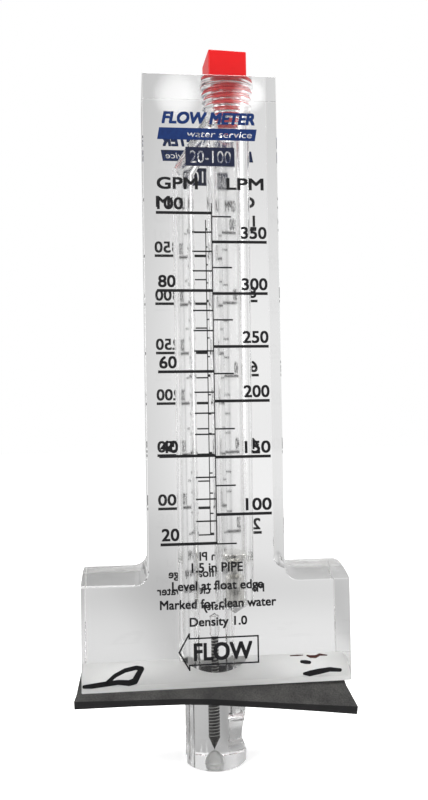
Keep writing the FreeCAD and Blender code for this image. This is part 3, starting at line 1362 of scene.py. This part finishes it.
    def stroke(self, corners: list[Pair], width: float) -> list[Thing]:
        """Draws a closed line round an outline, one straight piece for each side.

        Args:
            corners: The outline's corners.
            width: The line's width.

        Returns:
            The pieces.
        """
        pieces = []
        for (x0, y0), (x1, y1) in zip(corners, corners[1:] + corners[:1]):
            run = Vector((x1 - x0, y1 - y0))
            side = Vector((-run.y, run.x)).normalized() * width / 2
            ahead = run.normalized() * width / 2
            a, b = Vector((x0, y0)) - ahead, Vector((x1, y1)) + ahead
            pieces.append(self.polygon([tuple(a - side), tuple(b - side), tuple(b + side), tuple(a + side)]))
        return pieces

    def marks(self, tree: Tree, ink: Material) -> list[Thing]:
        """Draws the centre line and both columns of graduations.

        Args:
            tree: The tree that lays out a column of marks.
            ink: The ink.

        Returns:
            The drawings.
        """
        drawn = [self.bar((-self.line / 2, self.line / 2), (self.centre_low, self.centre_high))]
        columns = (
            ("gallon_marks", 1.0, 17, 20.0, 5.0, 4, 0, self.short_gallons, Side.LEFT),
            ("litre_marks", self.law.litres_per_gallon, 13, 75.0, 25.0, 2, 1, self.short_litres, Side.RIGHT),
        )
        for name, per_gallon, count, first_flow, flow_step, long_every, long_first, short, side in columns:
            values = {
                "Count": count,
                "First flow": first_flow,
                "Flow step": flow_step,
                "Law start": self.law.start * MM,
                "Law slope": self.law.slope / per_gallon * MM,
                "Law bend": self.law.bend / per_gallon**2 * MM,
                "Long every": long_every,
                "Long first": long_first,
                "Long length": self.long_mark * MM,
                "Short length": short * MM,
                "Long width": self.long_width * MM,
                "Short width": self.short_width * MM,
                "Side": float(side.value),
                "Film": self.film * MM,
            }
            drawn.append(grow(name, tree, values, ink))
        return drawn

    def numerals(self) -> list[Thing]:
        """Draws the numbers of both columns and the unit over each."""
        drawn = []
        for litres, flows in ((False, range(20, 101, 20)), (True, range(100, 351, 50))):
            for flow in flows:
                low = self.law.height(flow, litres) + self.digit_lift
                width = self.digit_width * len(str(flow))
                left = self.numerals_right - width if litres else self.numerals_left
                rows = (low, low + self.digit_height)
                drawn.append(self.words(str(flow), (left, left + width), rows, self.digit_bold))
        drawn.append(self.words("GPM", (self.numerals_left, -4.4), self.unit_rows, self.unit_bold))
        drawn.append(self.words("LPM", (5.2, 17.8), self.unit_rows, self.unit_bold))
        return drawn

    def notes(self) -> list[Thing]:
        """Draws four small plain lines under the scale."""
        lines = [
            ("1.5 in PIPE", (-8.5, 8.5), (35.4, 38.7)),
            ("Level at float edge", (-15.0, 15.2), (29.6, 32.8)),
            ("Marked for clean water", (-19.0, 19.4), (23.7, 26.9)),
            ("Density 1.0", (-9.4, 9.6), (17.9, 21.0)),
        ]
        return [self.words(*line, self.note_bold) for line in lines]

    def arrow(self) -> list[Thing]:
        """Draws the outlined arrow that shows which way the water runs, with its word."""
        tip, neck, tail = -12.9, -9.6, 13.1
        middle, half, head = 9.75, 4.3, 5.8
        lower = [(neck, middle - head), (neck, middle - half), (tail, middle - half)]
        outline = [(tip, middle), *lower, *((x, 2 * middle - y) for x, y in reversed(lower))]
        word = self.words("FLOW", (-8.2, 11.2), (middle - 3.0, middle + 3.1), self.arrow_bold)
        return self.stroke(outline, self.arrow_line) + [word]

    def heading(self) -> list[Thing]:
        """Draws a leaning heading and a leaning bar under it, with its words left clear."""
        bar = self.polygon([(-17.75, 178.9), (15.1, 178.9), (15.8, 182.9), (-17.05, 182.9)])
        lean = self.heading_lean
        service = self.words("water service", (-8.0, 14.4), (179.9, 182.2), 0.0, lean)
        return [
            self.words("FLOW METER", (-16.2, 16.0), (184.25, 188.6), self.heading_bold, lean),
            self.cleared(bar, service),
        ]

    def range_box(self) -> list[Thing]:
        """Draws a dark box with the meter's range in gallons a minute left clear."""
        box = self.bar((-8.4, 8.1), (170.1, 176.5))
        return [self.cleared(box, self.words("20-100", (-6.9, 6.9), (171.2, 175.6)))]

    def pen_marks(self) -> list[Thing]:
        """Draws the felt pen's strokes that someone left on the foot."""
        bar = [(-43.6, 0.3, 1.2), (-41.2, 0.4, 1.6), (-37.3, 0.8, 1.7), (-32.8, 1.2, 1.6), (-29.2, 0.8, 1.9)]
        loop = [(-29.2, 0.8, 1.9), (-27.4, 1.3, 2.1), (-26.3, 3.3, 1.9), (-25.2, 5.1, 1.7)]
        loop += [(-26.9, 5.6, 1.4), (-30.5, 4.9, 1.4), (-33.7, 3.4, 1.3), (-36.1, 1.4, 1.3)]
        right_bar = [(28.4, 0.9, 1.0), (30.2, 0.9, 1.9), (33.4, 1.4, 1.9), (37.0, 1.9, 1.5), (40.5, 1.5, 1.2)]
        dot = [(27.5, 4.9, 1.0), (28.9, 4.7, 1.3), (30.2, 4.5, 1.1)]
        return [piece for line in (bar, loop, right_bar, dot) for piece in self.brush(line)]

    def stains(self) -> list[Thing]:
        """Draws the brown streaks over the pen marks."""
        thin = [(23.8, 7.0, 0.35), (26.1, 7.0, 0.45), (28.0, 7.0, 0.25)]
        thick = [(29.4, 6.8, 0.5), (30.5, 6.4, 0.9), (32.3, 6.3, 1.0), (33.6, 6.9, 0.8), (36.1, 6.6, 0.35)]
        return self.brush(thin) + self.brush(thick)

    def build(self, block: ClearBlock, tree: Tree, inks: dict[Ink, Material]) -> list[Thing]:
        """Prints the face.

        Args:
            block: The block that carries the print.
            tree: The tree that lays out a column of marks.
            inks: The material of each ink.

        Returns:
            One piece for each group of the print.
        """
        groups = {
            "marks": (self.marks(tree, inks[Ink.BLACK]), Ink.BLACK),
            "numerals": (self.numerals(), Ink.BLACK),
            "notes": (self.notes(), Ink.BLACK),
            "heading": (self.heading(), Ink.BLUE),
            "range_box": (self.range_box(), Ink.DARK),
        }
        if self.face is Face.FRONT:
            groups["arrow"] = (self.arrow(), Ink.BLACK)
            groups["pen_marks"] = (self.pen_marks(), Ink.PEN)
            groups["stains"] = (self.stains(), Ink.STAIN)
        pieces = []
        for group, (drawings, ink) in groups.items():
            piece = self.place(join(f"{self.face.name.lower()}_{group}", drawings), block)
            pieces.append(dress(piece, inks[ink]))
        return pieces


@dataclass
class Studio:
    """White floor and surround, soft lamps, and the camera at the photograph's place."""

    camera_at: Point = (-26.14, -263.3, 83.87)
    yaw_deg: float = 5.99
    pitch_deg: float = 1.85
    roll_deg: float = -0.95
    focal_px: float = 752.2
    frame_height_px: float = 800.0
    sensor_mm: float = 24.0
    floor_half: float = 3.0
    floor_reach: float = 1.0
    floor_gap: float = 0.3
    floor_lift: float = 0.6
    plain_level: float = 0.55
    glass_bounces: int = 32
    glossy_bounces: int = 24
    transparent_bounces: int = 16
    around_deg: Steps = (
        *((-180, 0.6), (-150, 0.5), (-125, 0.95), (-75, 1.0), (-62, 0.6), (-40, 0.75), (-22, 0.9), (-10, 0.88)),
        *((-4, 0.65), (0, 0.66), (4, 0.9), (14, 0.95), (30, 0.98), (48, 0.95), (60, 0.6), (75, 1.0)),
        *((120, 1.0), (145, 0.6), (180, 0.6)),
    )
    upward: Steps = ((0.0, 0.8), (0.5, 1.0), (0.6, 0.96), (0.7, 0.76), (0.85, 0.8), (1.0, 1.0))
    # Grey levels of the glowing floor that glass and metal see, by distance from the meter: darker near it as a
    # painted shadow.
    floor_outward: Steps = (
        *((0.0, 0.5), (0.05, 0.55), (0.1, 0.84), (0.17, 0.86)),
        *((0.28, 0.76), (0.45, 0.88), (1.0, 1.0)),
    )
    lamp_patches: tuple[tuple[Point, float, float, float], ...] = (
        ((14.9, -247.4, 110.0), 0.2, 1.8, 16.0),
        ((39.5, -247.4, 110.5), 0.1, 1.3, 18.0),
    )
    lamp_aim: Point = (0, 0, 0.08)
    lamps: tuple[tuple[str, Point, Pair, float], ...] = (
        ("key", (-0.7, -0.6, 0.9), (0.6, 0.6), 9.0),
        ("fill", (0.8, -0.5, 0.4), (0.5, 0.8), 4.0),
        ("top", (0.1, 0.3, 1.1), (0.7, 0.5), 6.0),
    )

    def glints(self, tree: Tree, facing: Socket) -> Socket:
        """Gives the surround's strength: 1, and more in the directions of the small lamps.

        Args:
            tree: The tree that takes the nodes.
            facing: The direction that is looked in.

        Returns:
            The strength.
        """
        total = 1.0
        for way, inner_deg, outer_deg, strength in self.lamp_patches:
            both = {0: facing, 1: Vector(way).normalized()}
            near = add_node(tree, "ShaderNodeVectorMath", both, operation="DOT_PRODUCT").outputs["Value"]
            rim = (math.cos(math.radians(outer_deg)), math.cos(math.radians(inner_deg)))
            patch = spread(tree, near, rim, (0.0, strength), interpolation_type="SMOOTHSTEP")
            total = Sums(tree)("ADD", patch, total)
        return total

    def camera(self) -> None:
        """Sets up the camera."""
        data = bpy.data.cameras.new("camera")
        data.sensor_fit = "VERTICAL"
        data.sensor_height = self.sensor_mm
        data.lens = self.focal_px * self.sensor_mm / self.frame_height_px
        data.clip_start = 0.01
        camera = put("camera", data)
        turn = Matrix.Rotation(-math.radians(self.yaw_deg), 4, "Z")
        turn = turn @ Matrix.Rotation(math.pi / 2 + math.radians(self.pitch_deg), 4, "X")
        turn = turn @ Matrix.Rotation(math.radians(self.roll_deg), 4, "Z")
        camera.matrix_world = Matrix.Translation(Vector(self.camera_at) * MM) @ turn
        bpy.context.scene.camera = camera

    def lamp(self, name: str, place: Point, size: Pair, power: float) -> None:
        """Adds a soft lamp that faces the meter.

        Args:
            name: The lamp's name.
            place: Where it hangs, in metres.
            size: Its width and height in metres.
            power: Its power in watts.
        """
        data = bpy.data.lights.new(name, "AREA")
        data.shape = "RECTANGLE"
        data.size, data.size_y = size
        data.energy = power
        facing = (Vector(self.lamp_aim) - Vector(place)).to_track_quat("-Z", "Y")
        put(name, data).matrix_world = Matrix.Translation(place) @ facing.to_matrix().to_4x4()

    def levels(self, tree: Tree, place: Socket, steps: Steps, blend: str = "B_SPLINE") -> Socket:
        """Adds a soft ramp of grey levels.

        Args:
            tree: The tree that takes it.
            place: The socket that runs from 0 to 1 along the ramp.
            steps: Places on the ramp, each with its level.
            blend: How the ramp runs from one level to the next.

        Returns:
            The level's colour.
        """
        node = add_node(tree, "ShaderNodeValToRGB", {"Fac": place})
        ramp = node.color_ramp
        ramp.interpolation = blend
        for place_on_ramp, level in steps[1:-1]:
            ramp.elements.new(place_on_ramp).color = (level, level, level, 1.0)
        for element, (place_on_ramp, level) in ((ramp.elements[0], steps[0]), (ramp.elements[-1], steps[-1])):
            element.position = place_on_ramp
            element.color = (level, level, level, 1.0)
        return node.outputs["Color"]

    def by_ray(self, tree: Tree, plain, through, direct) -> Socket:
        """Picks a shader by the kind of ray that meets the surround.

        Args:
            tree: The tree that takes the nodes.
            plain: The shader that lights things.
            through: The shader that glass and metal show.
            direct: The shader that is seen directly.

        Returns:
            The shader to use.
        """
        path = add_node(tree, "ShaderNodeLightPath").outputs
        gloss = Sums(tree)("MAXIMUM", path["Is Glossy Ray"], path["Is Transmission Ray"])
        inner = add_node(tree, "ShaderNodeMixShader", {0: gloss, 1: plain, 2: through})
        seen = {0: path["Is Camera Ray"], 1: inner.outputs[0], 2: direct}
        return add_node(tree, "ShaderNodeMixShader", seen).outputs[0]

    def round_about(self, tree: Tree, x: Socket, y: Socket) -> Socket:
        """Gives the level in a level direction, which floor and surround share."""
        turn = Sums(tree)("MULTIPLY_ADD", Sums(tree)("ARCTAN2", x, y), 0.5 / math.pi, 0.5)
        return self.levels(tree, turn, tuple((angle / 360 + 0.5, level) for angle, level in self.around_deg))

    def multiplied(self, tree: Tree, first: Socket, second: Socket) -> Socket:
        """Multiplies two colours."""
        both = {"Factor": 1.0, "A": first, "B": second}
        return add_node(tree, "ShaderNodeMix", both, data_type="RGBA", blend_type="MULTIPLY").outputs["Result"]

    def world(self) -> None:
        """Makes the surround: white where it is seen, soft boxes and darker gaps where glass shows it."""
        world = bpy.data.worlds.new("surround")
        world.use_nodes = True
        tree = world.node_tree
        tree.nodes.clear()
        facing = add_node(tree, "ShaderNodeTexCoord").outputs["Generated"]
        axes = add_node(tree, "ShaderNodeSeparateXYZ", {0: facing}).outputs
        rise = Sums(tree)("MULTIPLY_ADD", axes["Z"], 0.5, 0.5)
        around = self.round_about(tree, axes["X"], axes["Y"])
        tone = self.multiplied(tree, around, self.levels(tree, rise, self.upward))
        white = linear("FFFFFF")
        direct = add_node(tree, "ShaderNodeBackground", {"Color": white, "Strength": 1.0})
        strength = self.glints(tree, facing)
        through = add_node(tree, "ShaderNodeBackground", {"Color": tone, "Strength": strength})
        plain = add_node(tree, "ShaderNodeBackground", {"Color": white, "Strength": self.plain_level})
        surface = self.by_ray(tree, plain.outputs[0], through.outputs[0], direct.outputs[0])
        add_node(tree, "ShaderNodeOutputWorld", {"Surface": surface})
        bpy.context.scene.world = world

    def floor(self, height: float) -> None:
        """Makes the pale floor at a height: matt and evenly lit up where it is seen directly, while glass and
        metal see it glowing grey, in the surround's levels round about and darker near the meter as a painted
        shadow.
        """
        half = self.floor_half / MM
        corners = [(-half, -half, height), (half, -half, height), (half, half, height), (-half, half, height)]
        floor = mesh_object("floor", corners, [(0, 1, 2, 3)])
        material = bpy.data.materials.new("floor_white")
        material.use_nodes = True
        tree = material.node_tree
        tree.nodes.clear()
        axes = add_node(tree, "ShaderNodeSeparateXYZ", {0: object_position(tree)}).outputs
        sums = Sums(tree)
        away = sums("SQRT", sums("ADD", sums("POWER", axes["X"], 2.0), sums("POWER", axes["Y"], 2.0)))
        reach = add_node(tree, "ShaderNodeClamp", {0: sums("MULTIPLY", away, 1 / self.floor_reach)}).outputs[0]
        painted_shadow_level = self.levels(tree, reach, self.floor_outward, "EASE")
        tone = self.multiplied(tree, self.round_about(tree, axes["X"], axes["Y"]), painted_shadow_level)
        matt = add_node(tree, "ShaderNodeBsdfDiffuse", {"Color": linear("F4F4F4")})
        lift = add_node(tree, "ShaderNodeEmission", {"Color": linear("FFFFFF"), "Strength": self.floor_lift})
        both = add_node(tree, "ShaderNodeAddShader", {0: matt.outputs[0], 1: lift.outputs[0]})
        # Glass and metal see the floor glow in grey levels: painted light, with a painted shadow near the meter.
        through = add_node(tree, "ShaderNodeEmission", {"Color": tone})
        surface = self.by_ray(tree, matt.outputs[0], through.outputs[0], both.outputs[0])
        add_node(tree, "ShaderNodeOutputMaterial", {"Surface": surface})
        floor.data.materials.append(material)

    def build(self, floor_z: float) -> None:
        """Sets the stage.

        Args:
            floor_z: Height of the floor.
        """
        scene = bpy.context.scene
        scene.view_settings.view_transform = "Standard"
        scene.cycles.max_bounces = self.glass_bounces
        scene.cycles.transmission_bounces = self.glass_bounces
        scene.cycles.glossy_bounces = self.glossy_bounces
        scene.cycles.transparent_max_bounces = self.transparent_bounces
        self.camera()
        self.world()
        self.floor(floor_z)
        for lamp in self.lamps:
            self.lamp(*lamp)


def main() -> None:
    """Builds and dresses the flow meter in the studio."""
    logging.basicConfig(level=logging.INFO)
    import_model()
    threads = thread_tree()
    marks = marks_tree()
    block = ClearBlock()
    plug_thread = Thread(crest_r=9.3, root_r=8.1, pitch=2.1, taper=0.2, at_z=block.top, flat=0.2)
    port_thread = Thread(crest_r=9.4, root_r=8.4, pitch=2.1, taper=0.1, at_z=block.top, flat=0.25)

    polished = ClearAcrylic("acrylic_polished", 0.0, 0.02, 1.2).build()
    drilled = ClearAcrylic("acrylic_drilled", 0.16, 0.12, 0.8).build()
    milled = ClearAcrylic("acrylic_milled", 0.45, 0.15, 0.6, clearness=0.3, tint="F2F2F0").build()
    clear = block.build(threads, port_thread, [polished, drilled, milled])
    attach(clear, "body")
    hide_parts("meter_body", "pitot_tube")

    # A paler copy of the red, painted light for the plug's barrel under the block.
    lit_red = RedPlastic("plastic_moulded_red_lit_copy", "F04A4E").build()
    plug = TopPlug().build(threads, plug_thread, block, RedPlastic().build(), lit_red)
    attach(plug, "plug")
    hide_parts("top_plug")

    steel = TurnedSteel("stainless_turned", "DAD9D5", 0.2, 0.25, 0.004).build()
    weight = MeteringFloat().build(block, steel)
    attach(weight, "float")
    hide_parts("metering_float")

    # A darkened copy of the stud's steel for its thread grooves, as painted shade.
    groove_steel_painted_shade = TurnedSteel("stainless_thread_groove_painted_shade", "5A5957", 0.35, 0.2, 0.004).build()
    crest_steel = TurnedSteel("stainless_thread_crest", "DAD9D6", 0.35, 0.2, 0.004).build()
    stud = TubeStud().build(threads, block, groove_steel_painted_shade, crest_steel)
    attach(stud, "body")
    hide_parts("tube_stud")

    cut = SheetRubber("rubber_sheet_cut", 0.12).build()
    dusty = SheetRubber("rubber_sheet_dusty", 1.0).build()
    gasket = SaddleGasket().build(block, cut, dusty)
    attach(gasket, "body")
    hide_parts("saddle_gasket")

    inks = {ink: PrintInk(f"ink_{ink.name.lower()}", *ink.value).build() for ink in Ink}
    printed = []
    for face in Face:
        for piece in PrintedFace(face).build(block, marks, inks):
            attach(piece, "body")
            printed.append(piece)

    for piece in (clear, plug, weight, stud, gasket, *printed):
        LOG.info("%s: %d faces", piece.name, len(piece.data.polygons))
    Studio().build(block.tube_low - Studio.floor_gap)


if __name__ == "__main__":
    main()
